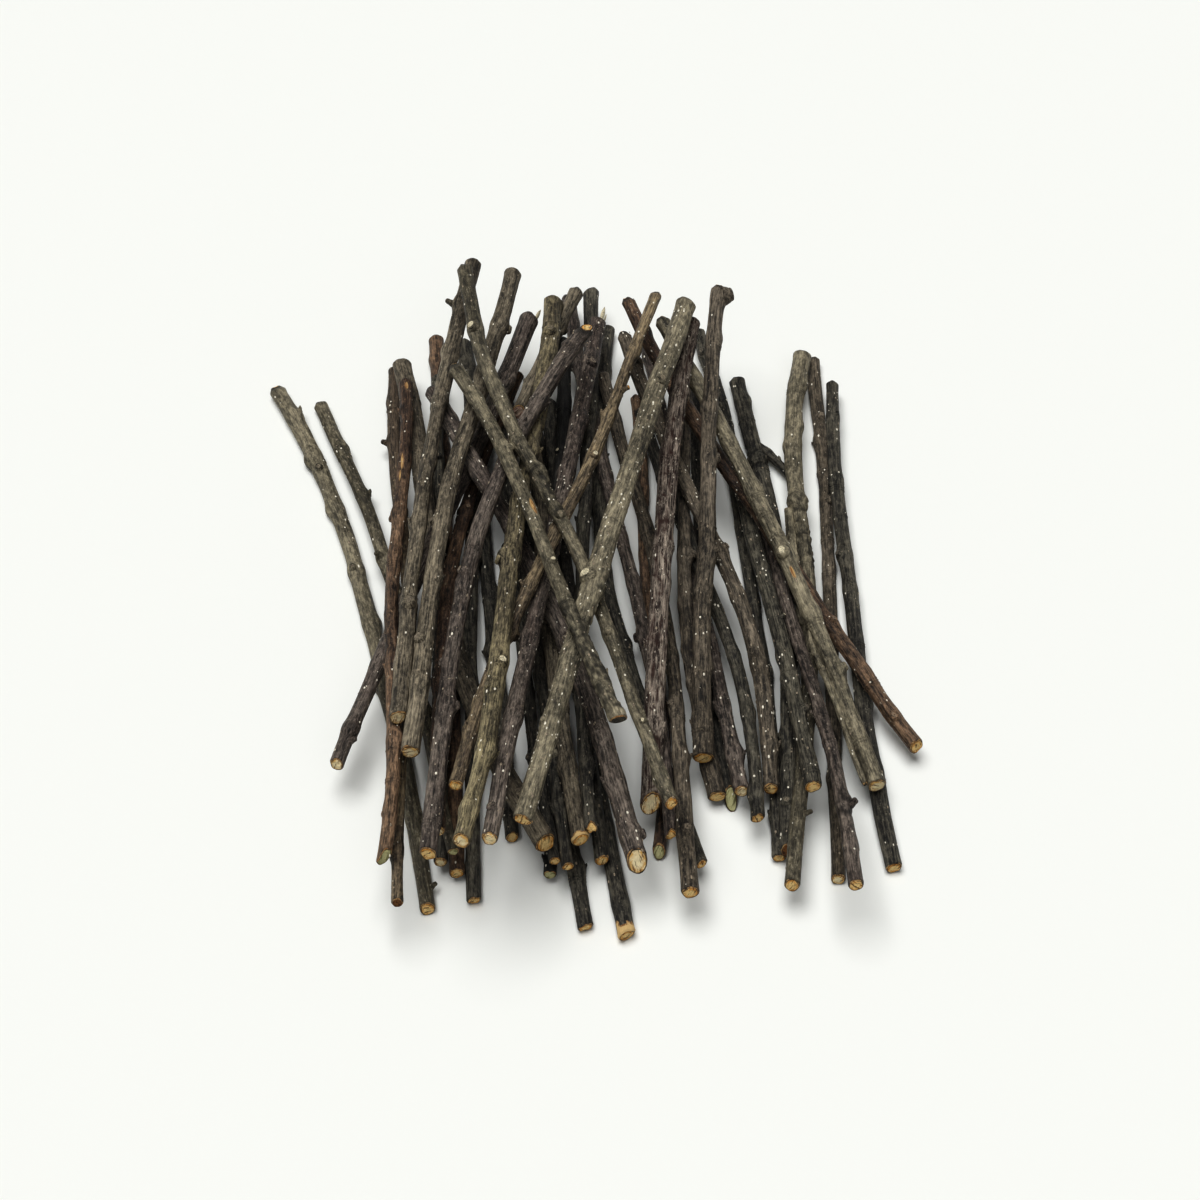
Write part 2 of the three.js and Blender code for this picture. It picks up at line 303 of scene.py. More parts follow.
PLAIN = dict(tone=(0.3, 0.4), dots=2, ridges=0.045, far=(12, 180, "cream"), near=(12, 180, "ochre"), marks=[])

# Which of its kind's colours the bark is made of, as sRGB: two bark colours, the dark of grooves (the
# fissures' own colour, also used for painted shade in the relief's hollows), flakes.
# Then the strength of streaks, mottling and flakes, the roughness, and the depth of the fine relief in mm.
BARKS = {
    "black": ("22211e", "373531", "0b0b0a", "4f4b45", 0.6, 0.6, 0.10, 0.60, 0.10),
    "dark": ("37342e", "565247", "13120f", "7f796c", 0.65, 0.8, 0.20, 0.58, 0.14),
    "brown": ("4e463a", "71685b", "1c1712", "948773", 0.55, 0.65, 0.22, 0.60, 0.14),
    "red": ("49382c", "7a644f", "1c120d", "a58b70", 0.55, 0.7, 0.16, 0.52, 0.12),
    "purple": ("473d37", "6f665d", "1a1512", "9b8f83", 0.62, 0.7, 0.25, 0.54, 0.14),
    "grey": ("585043", "807766", "211d17", "a49b8a", 0.52, 0.65, 0.22, 0.60, 0.14),
    "olive": ("575142", "8a826e", "1f1c16", "aca490", 0.36, 0.7, 0.20, 0.56, 0.12),
    "khaki": ("5a5242", "8a8065", "211c14", "a99d7c", 0.55, 0.65, 0.20, 0.58, 0.16),
    "tan": ("574b3e", "85775f", "1f1812", "a8977a", 0.55, 0.6, 0.16, 0.54, 0.13),
    "scaly": ("6d6158", "8f8579", "3a241e", "b8ac9d", 0.8, 0.5, 0.6, 0.72, 0.20),
}
# Wood of the cut faces, as sRGB: middle, outer part, stain.
WOODS = {
    "cream": ("fbecc4", "e0b670", "7e5834"),
    "ochre": ("fadd9e", "d89d4e", "6c4422"),
    "green": ("d3cfa0", "bbb584", "75724a"),
    "pale": ("c9b3a0", "b08a78", "7a5a4c"),
    "brown": ("8a6038", "6a4424", "3b2413"),
}
PALE = {"dot": "f6f0de", "cream": "e2d8bb", "pale": "a89a86", "eye": "94897a"}


def linear(code):
    """An sRGB hex colour as linear RGBA."""
    out = []
    for k in (0, 2, 4):
        v = int(code[k:k + 2], 16) / 255
        out.append(v / 12.92 if v <= 0.04045 else ((v + 0.055) / 1.055) ** 2.4)
    return (*out, 1.0)


# ---------------------------------------------------------------- materials
class Nodes:
    """A material's node tree, built link by link."""

    def __init__(self, name):
        self.material = bpy.data.materials.new(name)
        self.material.use_nodes = True
        self.tree = self.material.node_tree
        self.shader = self.tree.nodes["Principled BSDF"]

    def new(self, kind, inputs=(), **settings):
        node = self.tree.nodes.new(kind)
        for key, value in settings.items():
            setattr(node, key, value)
        for socket, value in dict(inputs).items():
            self.put(node.inputs[socket], value)
        return node

    def put(self, socket, value):
        if isinstance(value, bpy.types.NodeSocket):
            self.tree.links.new(value, socket)
        else:
            socket.default_value = value

    def attribute(self, name, output="Fac"):
        return self.new("ShaderNodeAttribute", attribute_name=name).outputs[output]

    def noise(self, coordinate, stretch, scale, detail=3.0, rough=0.55):
        """Noise with `scale` cells to the millimetre, drawn out along the twig by `stretch`."""
        scales = (1.0, 1.0, 1.0 / stretch)
        flat = self.new("ShaderNodeVectorMath", {0: coordinate, 1: scales}, operation="MULTIPLY")
        node = self.new(
            "ShaderNodeTexNoise",
            {"Vector": flat.outputs[0], "Scale": scale, "Detail": detail, "Roughness": rough},
        )
        return node.outputs["Fac"]

    def math(self, operation, a, b=0.0, clamp=False):
        return self.new("ShaderNodeMath", {0: a, 1: b}, operation=operation, use_clamp=clamp).outputs[0]

    def sum(self, *terms):
        """The terms added up, each a noise less its middle value of a half, times its weight."""
        total = -0.5 * sum(weight for _, weight in terms)
        for value, weight in terms:
            node = self.new("ShaderNodeMath", {0: value, 1: weight, 2: total}, operation="MULTIPLY_ADD")
            total = node.outputs[0]
        return total

    def ramp(self, value, low, high):
        """0 below `low`, 1 above `high`, smooth between."""
        node = self.new("ShaderNodeMapRange", {0: value, 1: low, 2: high}, interpolation_type="SMOOTHSTEP")
        return node.outputs[0]

    def mix(self, factor, a, b):
        node = self.new("ShaderNodeMix", data_type="RGBA")
        self.put(node.inputs[0], factor)
        self.put(node.inputs[6], a)
        self.put(node.inputs[7], b)
        return node.outputs[2]


def bark_material(kind):
    first, second, groove, flake, streaks, mottles, flakes, rough, relief = BARKS[kind]
    n = Nodes(f"{kind}_bark")
    grain = n.attribute("grain", "Vector")
    slow = n.noise(grain, 3.0, 0.13, 2.0)
    band = n.noise(grain, 22.0, 0.8, 3.0, 0.6)
    streak = n.noise(grain, 10.0, 2.2, 3.0, 0.7)
    mottle = n.noise(grain, 1.8, 0.9, 5.0, 0.75)
    fine = n.noise(grain, 2.5, 3.6, 2.0, 0.6)

    tone = n.math("ADD", n.attribute("tone"), n.sum((slow, 2.2), (mottle, 2.0)), clamp=True)
    colour = n.mix(tone, linear(first), linear(second))
    uneven = n.sum(
        (n.ramp(band, 0.40, 0.60), 0.9 * streaks), (n.ramp(streak, 0.42, 0.60), 1.5 * streaks),
        (n.ramp(mottle, 0.38, 0.64), 1.0 * mottles), (slow, 1.1),
    )
    light = n.math("ADD", uneven, 1.1)
    light = n.math("MAXIMUM", n.math("MULTIPLY", light, n.attribute("shade")), 0.12)
    colour = n.new("ShaderNodeVectorMath", {0: colour, "Scale": light}, operation="SCALE").outputs[0]
    crack = n.math("MULTIPLY", n.ramp(streak, 0.52, 0.38), 0.5 * streaks, clamp=True)
    colour = n.mix(crack, colour, linear(groove))
    speck = n.math("MULTIPLY", n.ramp(fine, 0.56, 0.66), n.ramp(mottle, 0.46, 0.60))
    colour = n.mix(n.math("MULTIPLY", speck, 3.4 * flakes, clamp=True), colour, linear(flake))
    # Painted shade: the bark goes towards its groove colour in the relief's grooves, ring creases and wrinkle
    # troughs, partly the fissures' own dark colour and partly painted shade in those hollows; it is also made
    # darker at both ends.
    colour = n.mix(n.attribute("groove"), colour, linear(groove))
    wood = n.mix(n.ramp(streak, 0.4, 0.62), linear("c6a470"), linear("8a6038"))
    pale = n.mix(n.ramp(n.attribute("bare"), 0.75, 0.95), wood, linear("e2c48c"))
    colour = n.mix(n.ramp(n.attribute("bare"), 0.2, 0.5), colour, pale)

    n.put(n.shader.inputs["Base Color"], colour)
    dull = n.new("ShaderNodeMapRange", {0: mottle, 1: 0.35, 2: 0.65, 3: rough - 0.12, 4: rough + 0.14})
    n.put(n.shader.inputs["Roughness"], dull.outputs[0])
    height = n.sum((streak, -1.0), (mottle, 1.0), (fine, 0.5), (band, -0.5))
    bump = n.new("ShaderNodeBump", {"Height": height, "Strength": 1.0, "Distance": relief * 2.8 * MM})
    n.put(n.shader.inputs["Normal"], bump.outputs[0])
    n.shader.inputs["Specular IOR Level"].default_value = 0.35
    return n.material


def wood_material(kind):
    middle, outer, stain = WOODS[kind]
    n = Nodes(f"{kind}_wood")
    disc = n.attribute("disc", "Vector")
    parts = n.new("ShaderNodeSeparateXYZ", {0: disc})
    patch = n.noise(n.attribute("grain", "Vector"), 1.0, 0.6, 3.0, 0.6)
    speck = n.noise(n.attribute("grain", "Vector"), 1.0, 2.6, 4.0, 0.7)
    place = n.new("ShaderNodeSeparateXYZ", {0: n.attribute("grain", "Vector")}).outputs[0]
    shifted = n.new("ShaderNodeCombineXYZ", {0: parts.outputs[0], 1: parts.outputs[1], 2: place}).outputs[0]
    fibre = n.new("ShaderNodeVectorMath", {0: shifted, 1: (0.35, 2.0, 0.05)}, operation="MULTIPLY").outputs[0]
    tear = n.noise(fibre, 1.0, 1.0, 3.0, 0.6)
    radius = n.math("ADD", parts.outputs[2], n.sum((speck, 0.7), (patch, 0.9)))
    colour = n.mix(n.ramp(radius, 0.30, 0.80), linear(middle), linear(outer))
    colour = n.mix(n.math("MULTIPLY", n.ramp(patch, 0.48, 0.56), 0.75), colour, linear(middle))
    colour = n.mix(n.math("MULTIPLY", n.ramp(tear, 0.54, 0.62), 0.85), colour, linear(stain))
    colour = n.mix(n.math("MULTIPLY", n.ramp(speck, 0.58, 0.70), 0.5), colour, linear(stain))
    colour = n.mix(n.ramp(radius, 1.0, 1.2), colour, linear(stain))
    n.put(n.shader.inputs["Base Color"], colour)
    n.shader.inputs["Roughness"].default_value = 0.72
    n.shader.inputs["Specular IOR Level"].default_value = 0.25
    height = n.sum((speck, 1.0), (tear, -1.5))
    bump = n.new("ShaderNodeBump", {"Height": height, "Strength": 1.0, "Distance": 0.3 * MM})
    n.put(n.shader.inputs["Normal"], bump.outputs[0])
    return n.material


def pale_material(kind):
    """Corky bark: lenticels and the faces of scars."""
    n = Nodes(f"{kind}_cork")
    grain = n.attribute("grain", "Vector")
    speck = n.noise(grain, 1.0, 3.2, 4.0, 0.6)
    base = linear(PALE[kind])
    share = 0.7 if kind == "dot" else 0.3
    shade = tuple(share * c for c in base[:3]) + (1.0,)
    n.put(n.shader.inputs["Base Color"], n.mix(n.ramp(speck, 0.44, 0.66), base, shade))
    n.shader.inputs["Roughness"].default_value = 0.7
    n.shader.inputs["Specular IOR Level"].default_value = 0.3
    bump = n.new("ShaderNodeBump", {"Height": speck, "Strength": 0.6, "Distance": 0.1 * MM})
    n.put(n.shader.inputs["Normal"], bump.outputs[0])
    return n.material


BARK = {kind: bark_material(kind) for kind in BARKS}
WOOD = {kind: wood_material(kind) for kind in WOODS}
CORK = {kind: pale_material(kind) for kind in PALE}


# ---------------------------------------------------------------- a twig's line and surface
def ring_centres(node):
    """Middle points and radii of a CAD bar's rings, far end first."""
    co = np.array([v.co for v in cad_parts[node].data.vertices]) / MM
    co = np.unique(np.round(co, 3), axis=0)
    middle = co.mean(0)
    axis = np.linalg.svd(co - middle, full_matrices=False)[2][0]
    if axis[1] > 0:
        axis = -axis
    place = (co - middle) @ axis
    order = np.argsort(place)
    co, place = co[order], place[order]
    gap = 3.0
    cuts = [0, *(np.flatnonzero(np.diff(place) > gap) + 1), len(co)]
    groups = [co[a:b] for a, b in zip(cuts[:-1], cuts[1:])]
    centres = np.array([g.mean(0) for g in groups])
    radii = np.array([np.median(np.linalg.norm(g - c, axis=1)) for g, c in zip(groups, centres)])
    return centres, radii


def spline(points, count):
    """A smooth line of `count` points through a few."""
    ends = np.vstack([2 * points[0] - points[1], points, 2 * points[-1] - points[-2]])
    u = np.linspace(0, 1, count) * (len(points) - 1)
    i = np.clip(u.astype(int), 0, len(points) - 2)
    x = (u - i)[:, None]
    a, b, c, d = ends[i], ends[i + 1], ends[i + 2], ends[i + 3]
    return 0.5 * (2 * b + (c - a) * x + (2 * a - 5 * b + 4 * c - d) * x**2 + (3 * b - a - 3 * c + d) * x**3)


class Noise:
    """Smooth random values from -1 to 1 over a twig: `around` cells round it, each `length` mm long."""

    def __init__(self, rng, around, length, total):
        self.around = around
        self.length = length
        self.grid = rng.uniform(-1, 1, (int(total / length) + 4, around))

    def __call__(self, s, theta):
        u = np.asarray(theta) / (2 * np.pi) * self.around
        v = np.clip(np.asarray(s) / self.length + 1, 0, len(self.grid) - 2)
        u, v = np.broadcast_arrays(u, v)
        i, j = np.floor(v).astype(int), np.floor(u).astype(int)
        x, y = v - i, u - j
        x, y = x * x * (3 - 2 * x), y * y * (3 - 2 * y)
        j0, j1 = j % self.around, (j + 1) % self.around
        g = self.grid
        return (g[i, j0] * (1 - y) + g[i, j1] * y) * (1 - x) + (g[i + 1, j0] * (1 - y) + g[i + 1, j1] * y) * x


def hump(x):
    return np.exp(-np.square(x))


def unit(v):
    return v / np.linalg.norm(v, axis=-1, keepdims=True)


class Twig:
    """A twig's middle line and its bark surface, as functions of the distance s and the angle theta."""

    def __init__(self, points, radii, look, rng):
        self.look = look
        self.rng = rng
        self.line = spline(points, 400)
        steps = np.linalg.norm(np.diff(self.line, axis=0), axis=1)
        self.s = np.concatenate([[0], np.cumsum(steps)])
        self.length = self.s[-1]
        self.radii = np.interp(self.s, np.linspace(0, self.length, len(radii)), radii)
        self.marks = [m for m in look["marks"]]
        self.twist = rng.uniform(-0.012, 0.012)
        self.phase = rng.uniform(0, 2 * np.pi)
        self.offset = rng.uniform(-400, 400, 3)
        self.slow = Noise(rng, 1, 22, self.length)
        self.oval = Noise(rng, 1, 35, self.length)
        self.lumps = Noise(rng, 4, 7, self.length)
        self.ridge = Noise(rng, 11, 14, self.length)
        self.fibre = Noise(rng, 19, 5, self.length)
        self.rough = Noise(rng, 22, 0.9, self.length)
        self.wander = [Noise(rng, 1, 16, self.length) for _ in range(2)]
        self.wobble = Noise(rng, 5, 3, self.length)
        self.crack = Noise(rng, 18, 6.0, self.length)
        self.torn = {}

    def frame(self, s):
        """Point, direction towards the near end, right and top at distances s."""
        s = np.asarray(s, float)

        def here(column):
            return np.interp(s, self.s, column)

        point = np.stack([here(self.line[:, i]) for i in range(3)], -1)
        gradient = np.gradient(self.line, axis=0)
        along = unit(np.stack([here(gradient[:, i]) for i in range(3)], -1))
        right = unit(np.cross([0.0, 0.0, 1.0], along))
        top = np.cross(along, right)
        calm = 0.26
        aside, up = (wander(s, 0.0)[..., None] for wander in self.wander)
        point = point + calm * (aside * right + up * top)
        return point, along, right, top

    def relief(self, s, theta):
        """Radius, and how deep in a groove the place is from 0 to 1, which darkens the bark there: its
        fissure colour with painted shade.
        """
        s, theta = np.broadcast_arrays(np.asarray(s, float), np.asarray(theta, float))
        base = np.interp(s, self.s, self.radii)
        turned = theta + self.twist * s
        radius = base * (1 + 0.045 * self.slow(s, 0.0) + 0.03 * self.lumps(s, theta))
        radius = radius + base * 0.035 * np.cos(2 * (theta - self.phase - 1.5 * self.oval(s, 0.0)))
        ridged = 1 - 2 * np.abs(self.ridge(s, turned))
        height = 1.35 * self.look["ridges"] * (ridged + 0.6 * self.fibre(s, turned))
        height = height + 0.025 * self.rough(s, turned)
        # Painted shade, partly the fissures' own colour: the grooves between ridges are darkened by this
        # value.
        groove = np.clip(-0.5 * ridged - 0.35 * self.fibre(s, turned), 0, 1)
        groove = groove * min(1.0, self.look["ridges"] * 9)
        if self.look.get("scaly"):
            cell = np.abs(self.crack(s, turned))
            split = hump(cell / 0.12)
            height = height - 0.09 * split
            groove = np.maximum(groove, split)
        for mark in self.marks:
            at = s - mark[1] * self.length
            if mark[0] == "ring":
                near = np.abs(at) < 4
                for k in range(mark[2]):
                    place = (k - (mark[2] - 1) / 2) * 0.75
                    row = np.full_like(s, 7.0 * mark[1] * 9 % self.length)
                    edge = at - place - 0.25 * self.wobble(row, theta)
                    height = height + near * 0.14 * hump(edge / 0.2)
                    patchy = 0.35 + 0.35 * self.rough(s * 0.3, theta)
                    # Painted shade in the crease beside each ring's ridge.
                    groove = np.maximum(groove, near * patchy * hump((edge - 0.4) / 0.17))
                height = height + 0.07 * hump(at / (1.2 + 0.5 * mark[2]))
            elif mark[0] == "node":
                _, _, around, swell = mark
                side = 0.5 + 0.5 * np.cos(theta - math.radians(around))
                height = height + 1.35 * swell * hump(at / 2.2) * (0.25 + 0.75 * side**2)
            elif mark[0] == "wrinkles":
                _, _, span, deep = mark
                there = hump(np.clip(np.abs(at) - span / 2, 0, None) / 1.2)
                wave = self.rough(s * 0.8, theta * 0.5) + self.wobble(s * 2.2, theta)
                height = height + there * deep * wave
                # Painted shade in the wrinkle troughs.
                groove = np.maximum(groove, there * np.clip(-wave, 0, 1) * 0.8)
        return radius + height, np.clip(groove, 0, 1)

    def point(self, s, theta, lift=0.0):
        point, along, right, top = self.frame(s)
        radius, _ = self.relief(s, theta)
        out = np.cos(theta)[..., None] * top + np.sin(theta)[..., None] * right
        return point + (radius + lift)[..., None] * out, along, out

    def tone(self, s):
        far, near = self.look["tone"]
        return far + (near - far) * np.asarray(s) / self.length


# ---------------------------------------------------------------- one object's mesh
class Piece:
    FLOATS = ("tone", "groove", "bare", "shade")
    VECTORS = ("grain", "disc")

    def __init__(self, offset):
        self.offset = offset
        self.points = []
        self.faces = []
        self.slots = []
        self.values = {k: [] for k in self.FLOATS + self.VECTORS}
        self.materials = []
        self.count = 0

    def slot(self, material):
        if material not in self.materials:
            self.materials.append(material)
        return self.materials.index(material)

    def add(self, points, faces, material, **values):
        """Adds points and the faces between them; face indices count from the first of these points."""
        start = self.count
        n = len(points)
        self.points.append(points)
        self.faces += [tuple(i + start for i in f) for f in faces]
        self.slots += [self.slot(material)] * len(faces)
        for name in self.FLOATS:
            self.values[name].append(np.broadcast_to(values.get(name, 0.0), n))
        self.values["grain"].append(values.get("grain", points) + self.offset)
        self.values["disc"].append(np.broadcast_to(values.get("disc", (0.0, 0.0, 0.5)), (n, 3)))
        self.count += n
        return start

    def join(self, faces, material):
        """Faces between points that are there already."""
        self.faces += faces
        self.slots += [self.slot(material)] * len(faces)

    def build(self, name):
        mesh = bpy.data.meshes.new(name)
        points = np.concatenate(self.points)
        points[:, 2] = np.maximum(points[:, 2], 0.0)
        mesh.from_pydata((points * MM).tolist(), [], self.faces)
        for material in self.materials:
            mesh.materials.append(material)
        mesh.polygons.foreach_set("material_index", self.slots)
        for key in self.FLOATS:
            layer = mesh.attributes.new(key, "FLOAT", "POINT")
            layer.data.foreach_set("value", np.concatenate(self.values[key]).astype(np.float32))
        for key in self.VECTORS:
            layer = mesh.attributes.new(key, "FLOAT_VECTOR", "POINT")
            layer.data.foreach_set("vector", np.concatenate(self.values[key]).astype(np.float32).ravel())
        mesh.shade_smooth()
        mesh.set_sharp_from_angle(angle=math.radians(37))
        mesh.update()
        piece = bpy.data.objects.new(name, mesh)
        bpy.context.scene.collection.objects.link(piece)
        return piece


def band(rows, columns, start=0):
    """Quads between rings of points that close round a twig."""
    i = np.arange(rows - 1)[:, None] * columns
    j = np.arange(columns)[None, :]
    k = (j + 1) % columns
    quads = np.stack(np.broadcast_arrays(i + j, i + k, i + columns + k, i + columns + j), -1)
    return [tuple(q) for q in (quads.reshape(-1, 4) + start).tolist()]


def local_frame(normal, lean):
    """Two directions across `normal`; the first leans the way `lean` points."""
    first = unit(lean - normal * np.dot(lean, normal))
    return first, np.cross(normal, first)


def lathe(
    piece, base, axis, lean, profile, material, columns=12, squash=1.0,
    tone=0.4, shade=1.0, uneven=0.0, rng=None, groove=0.0, disc=False,
):
    """A turned shape: `profile` is (radius, height) pairs, the last at the tip. Closed at both ends."""
    first, second = local_frame(axis, lean)
    angle = np.arange(columns) / columns * 2 * np.pi
    rows = []
    wave = np.ones(columns)
    if uneven:
        draws = rng.uniform(-1, 1, 6)
        wave = 1 + uneven * np.interp(angle, np.linspace(0, 2 * np.pi, 7), [*draws, draws[0]])
    around = np.cos(angle)[:, None] * first + squash * np.sin(angle)[:, None] * second
    for radius, height in profile:
        flat = radius * wave
        rows.append(base + axis * height + flat[:, None] * around)
    points = np.concatenate([*rows, [base + axis * profile[0][1]], [base + axis * profile[-1][1]]])
    n = len(profile)
    faces = band(n, columns)
    last = (n - 1) * columns
    low, high = n * columns, n * columns + 1
    faces += [(low, (j + 1) % columns, j) for j in range(columns)]
    faces += [(high, last + j, last + (j + 1) % columns) for j in range(columns)]
    top = profile[-1][0] if profile[-1][0] > 0 else 1.0
    spread = np.array([[0.0, 0.0, 1.0]])
    if disc:
        offset = points - base
        wide, deep = offset @ first, offset @ second
        spread = np.stack([wide, deep, np.minimum(1.0, np.hypot(wide, deep) / top)], -1)
    piece.add(points, faces, material, tone=tone, shade=shade, groove=groove, disc=spread)


def add_bud(piece, twig, bark, s, theta, length):
    """A pointed bud pressed to the bark, over a small ledge."""
    point, along, out = twig.point(np.array(s), np.array(theta))
    growth = -along
    axis = unit(0.88 * growth + 0.48 * out)
    base = point - 0.18 * length * out
    width = 0.30 * length
    shape = [
        (0.35, -0.1), (0.85, 0.06), (1.0, 0.25), (0.95, 0.45), (0.98, 0.5),
        (0.72, 0.72), (0.62, 0.76), (0.3, 0.94), (0.06, 1.02),
    ]
    profile = [(width * r, length * h) for r, h in shape]
    lathe(
        piece, base, axis, out, profile, bark,
        columns=10, tone=twig.tone(s) - 0.1, uneven=0.12, rng=twig.rng,
    )
    ledge = [(0.5, -0.2), (0.62, 0.0), (0.5, 0.14), (0.1, 0.16)]
    profile = [(length * 0.55 * r, length * 0.55 * h) for r, h in ledge]
    foot = point + 0.12 * length * along
    lathe(
        piece, foot, unit(out + 0.4 * along), growth, profile, bark,
        columns=10, tone=twig.tone(s) + 0.3, uneven=0.2, rng=twig.rng,
    )


def add_scar(piece, twig, bark, s, theta, width, look):
    """The round scar of a lost side shoot: a low mound, a rim and a sunk face."""
    point, along, out = twig.point(np.array(s), np.array(theta))
    axis = unit(out - 0.15 * along)
    a = 0.66 * width
    point = point + 0.12 * a * out
    skirt = [(1.5, -0.55), (1.32, -0.05), (1.14, 0.18), (1.0, 0.32), (0.9, 0.34)]
    lathe(
        piece, point, axis, along, [(a * r, a * h) for r, h in skirt], bark,
        columns=16, squash=0.9, tone=twig.tone(s), uneven=0.08, rng=twig.rng,
    )
    # A darker sunk ring inside the rim: the scar's own dark border, with painted shade in its hollow.
    ring = [(0.94, 0.1), (0.93, 0.33), (0.7, 0.26), (0.5, 0.2)]
    lathe(
        piece, point, axis, along, [(a * r, a * h) for r, h in ring], bark,
        columns=16, squash=0.9, shade=0.5, tone=0.0, uneven=0.3, rng=twig.rng, groove=0.9,
    )
    face = [(0.74, 0.1), (0.72, 0.30), (0.62, 0.38), (0.5, 0.32), (0.38, 0.36), (0.2, 0.27), (0.1, 0.2)]
    if look == "cream":
        face = [(0.8, 0.1), (0.78, 0.36), (0.62, 0.46), (0.4, 0.39), (0.2, 0.42)]
    lathe(
        piece, point, axis, along, [(a * r, a * h) for r, h in face], CORK[look],
        columns=16, squash=0.8, uneven=0.35, rng=twig.rng,
    )


def add_stub(piece, twig, bark, s, theta, width, tall, look):
    """A side shoot cut off short."""
    point, along, out = twig.point(np.array(s), np.array(theta))
    axis = unit(out - 0.35 * along)
    a = width / 2
    if look == "bark":
        knob = [(1.6, -0.7), (1.3, 0.15), (1.12, 0.4), (1.1, 0.65), (0.95, 0.86), (0.6, 0.98), (0.2, 1.0)]
        profile = [(a * r, tall * h if h > 0 else a * h) for r, h in knob]
        lathe(
            piece, point, axis, along, profile, bark,
            columns=14, tone=twig.tone(s) - 0.1, uneven=0.22, rng=twig.rng, groove=0.15,
        )
        return
    collar = [
        (1.7 * a, -0.9 * a), (1.35 * a, 0.02 * tall), (1.08 * a, 0.3 * tall), (1.0 * a, 0.6 * tall),
        (1.04 * a, 0.86 * tall), (0.98 * a, 0.97 * tall), (0.84 * a, tall),
    ]
    lathe(
        piece, point, axis, along, collar, bark,
        columns=14, tone=twig.tone(s) - 0.1, uneven=0.08, rng=twig.rng,
    )
    material = WOOD["ochre"] if look == "ochre" else CORK["cream"]
    face = [
        (0.86 * a, 0.8 * tall), (0.85 * a, tall + 0.04), (0.72 * a, tall + 0.10),
        (0.35 * a, tall + 0.07), (0.12 * a, tall - 0.02),
    ]
    lathe(piece, point, axis, along, face, material, columns=14, uneven=0.08, rng=twig.rng, disc=True)


def add_splinter(piece, twig, around, length, width):
    """A sliver of wood that stands out of the far end."""
    point, along, out = twig.point(np.array(0.6), np.array(math.radians(around)))
    axis = unit(-along + 0.12 * out)
    shape = [(0.8, -0.2), (1.0, 0.1), (0.9, 0.5), (0.5, 0.8), (0.1, 1.0)]
    profile = [(width / 2 * r, length * h) for r, h in shape]
    lathe(
        piece, point - 0.35 * out, axis, np.cross(out, along), profile, CORK["cream"],
        columns=8, squash=0.35, uneven=0.25, rng=twig.rng,
    )


def add_lenticels(piece, twig, count, look):
    """Small pale corky dots, longer along the twig or across it."""
    rng = twig.rng
    sides = 6
    for _ in range(count):
        s = rng.uniform(1.5, twig.length - 1.5)
        theta = rng.uniform(0, 2 * np.pi)
        size = rng.uniform(0.12, 0.33)
        ratio = rng.uniform(0.9, 2.0)
        point, along, out = twig.point(np.array(s), np.array(theta))
        side = np.cross(out, along)
        angle = np.arange(sides) / sides * 2 * np.pi
        flat = size * (ratio * np.cos(angle)[:, None] * along + np.sin(angle)[:, None] * side)
        rim = point + flat - 0.06 * out
        shoulder = point + 0.65 * flat + 0.055 * out
        points = np.concatenate([rim, shoulder, [point + 0.08 * out], [point - 0.1 * out]])
        faces = band(2, sides)
        faces += [(2 * sides, sides + j, sides + (j + 1) % sides) for j in range(sides)]
        faces += [(2 * sides + 1, (j + 1) % sides, j) for j in range(sides)]
        piece.add(points, faces, CORK[look])


# ---------------------------------------------------------------- making the twigs
def distances(twig, step):
    """Where the skin's rings lie: evenly, and closer at rings of scars and at both ends."""
    places = [np.linspace(0, twig.length, int(twig.length / step) + 1)]
    edge = np.array([0.12, 0.3, 0.5, 0.7, 0.95, 1.25, 1.6])
    places += [edge, twig.length - edge]
    for mark in twig.marks:
        at = mark[1] * twig.length
        if mark[0] == "ring":
            reach = 0.4 * mark[2] + 1.0
            places.append(at + np.arange(-reach, reach, 0.17))
        elif mark[0] == "wrinkles":
            places.append(at + np.arange(-mark[2] / 2, mark[2] / 2, 0.3))
    s = np.unique(np.concatenate(places))
    s = s[(s >= 0) & (s <= twig.length)]
    keep = np.concatenate([[True], np.diff(s) > 0.08])
    keep[-1] = True
    s = s[keep]
    if s[-1] - s[-2] < 0.08:
        s = np.delete(s, -2)
    return s


def cut_back(twig, s, theta, radius):
    """How far each skin point moves along the twig so that the ends are cut at a lean, roughly."""
    move = np.zeros(np.broadcast_shapes(s.shape, theta.shape))
    for end, sign in (("far", 1), ("near", -1)):
        lean, longest, _ = twig.look[end]
        if twig.look[end] == PLAIN[end]:
            lean, longest = lean + 8 * twig.twist / 0.012, longest + math.degrees(twig.phase) / 3
        slope = math.tan(math.radians(lean))
        reach = 2.4 * slope * twig.radii.max() * 2 + 1.5
        from_end = s if sign > 0 else twig.length - s
        weight = np.clip(1 - from_end / reach, 0, 1) ** 1.5
        back = slope * radius * (1 - np.cos(theta - math.radians(longest)))
        ragged = twig.look.get("jag", 0.25) * end_noise(twig, end)(0.0, theta)
        move = move + sign * weight * (back + ragged)
    return move


def end_noise(twig, end):
    """The raggedness of one end, drawn when it is first asked for."""
    if end not in twig.torn:
        twig.torn[end] = Noise(twig.rng, 7, 1, 3)
    return twig.torn[end]


